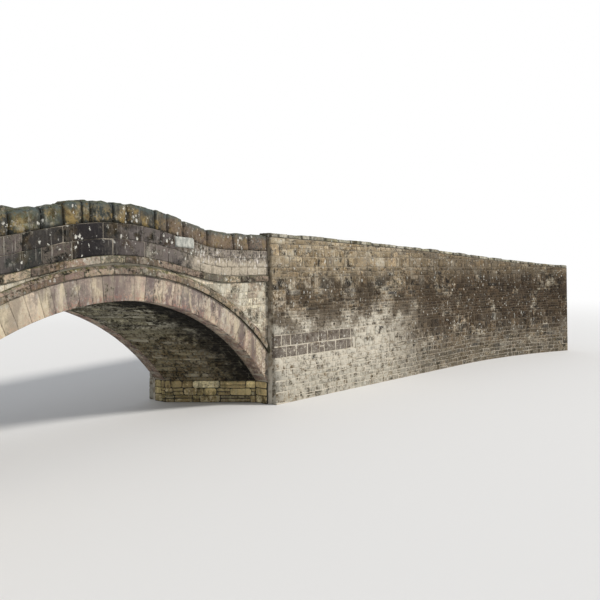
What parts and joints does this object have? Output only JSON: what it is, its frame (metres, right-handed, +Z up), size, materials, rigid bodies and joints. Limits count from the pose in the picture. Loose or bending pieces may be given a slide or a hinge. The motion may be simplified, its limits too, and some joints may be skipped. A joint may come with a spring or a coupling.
{
  "type": "stone packhorse bridge",
  "caption": "Low segmental stone arch bridge with a humped parapet, upright coping stones, and battered flared approach walls.",
  "frame": {"origin": "middle of the bounding box in plan, at water level under the walls", "axes": "+X along the bridge towards the longer approach with curved walls, +Y from the near face to the far face, +Z up"},
  "size_m": [31.708, 10.4024, 4.63],
  "materials": {
    "arch_stone": "dressed buff sandstone",
    "soffit_rubble": "rough rubble, damp and pale green",
    "hood_stone": "mossy weathered stone",
    "dark_ashlar": "soot-dark weathered ashlar",
    "coping_stone": "rough upright stones, ochre and grey",
    "flat_coping": "rough flat stones",
    "limewashed_rubble": "limewashed rubble",
    "pale_stone": "pale smooth block",
    "road_fill": "worn setts over rubble fill",
    "abutment_stone": "damp mossy blocks",
    "wall_rubble": "coursed rubble"
  },
  "bodies": {
    "root": {"arch_barrel_left": "soffit_rubble", "arch_barrel_crown": "soffit_rubble", "arch_barrel_right": "soffit_rubble", "arch_ring_near_left": "arch_stone", "arch_ring_near_crown": "arch_stone", "arch_ring_near_right": "arch_stone", "arch_ring_far_left": "arch_stone", "arch_ring_far_crown": "arch_stone", "arch_ring_far_right": "arch_stone", "hood_near_left": "hood_stone", "hood_near_crown": "hood_stone", "hood_near_right": "hood_stone", "hood_far_left": "hood_stone", "hood_far_crown": "hood_stone", "hood_far_right": "hood_stone", "spandrel_near_left": "limewashed_rubble", "spandrel_near_right": "limewashed_rubble", "spandrel_far_left": "limewashed_rubble", "spandrel_far_right": "limewashed_rubble", "string_course_near": "dark_ashlar", "string_course_far": "dark_ashlar", "parapet_near": "dark_ashlar", "parapet_far": "dark_ashlar", "parapet_coping_near": "coping_stone", "parapet_coping_far": "coping_stone", "pale_block": "pale_stone", "abutment_left": "abutment_stone", "abutment_right": "abutment_stone", "approach_wall_near_right": "wall_rubble", "approach_wall_far_right": "wall_rubble", "approach_wall_near_left": "wall_rubble", "approach_wall_far_left": "wall_rubble", "curved_wall_near": "wall_rubble", "curved_wall_far": "wall_rubble", "approach_coping_near_right": "flat_coping", "approach_coping_far_right": "flat_coping", "approach_coping_near_left": "flat_coping", "approach_coping_far_left": "flat_coping", "curved_coping_near": "flat_coping", "curved_coping_far": "flat_coping", "road_fill_crown": "road_fill", "road_fill_right": "road_fill", "road_fill_left": "road_fill"}
  },
  "joints": []
}
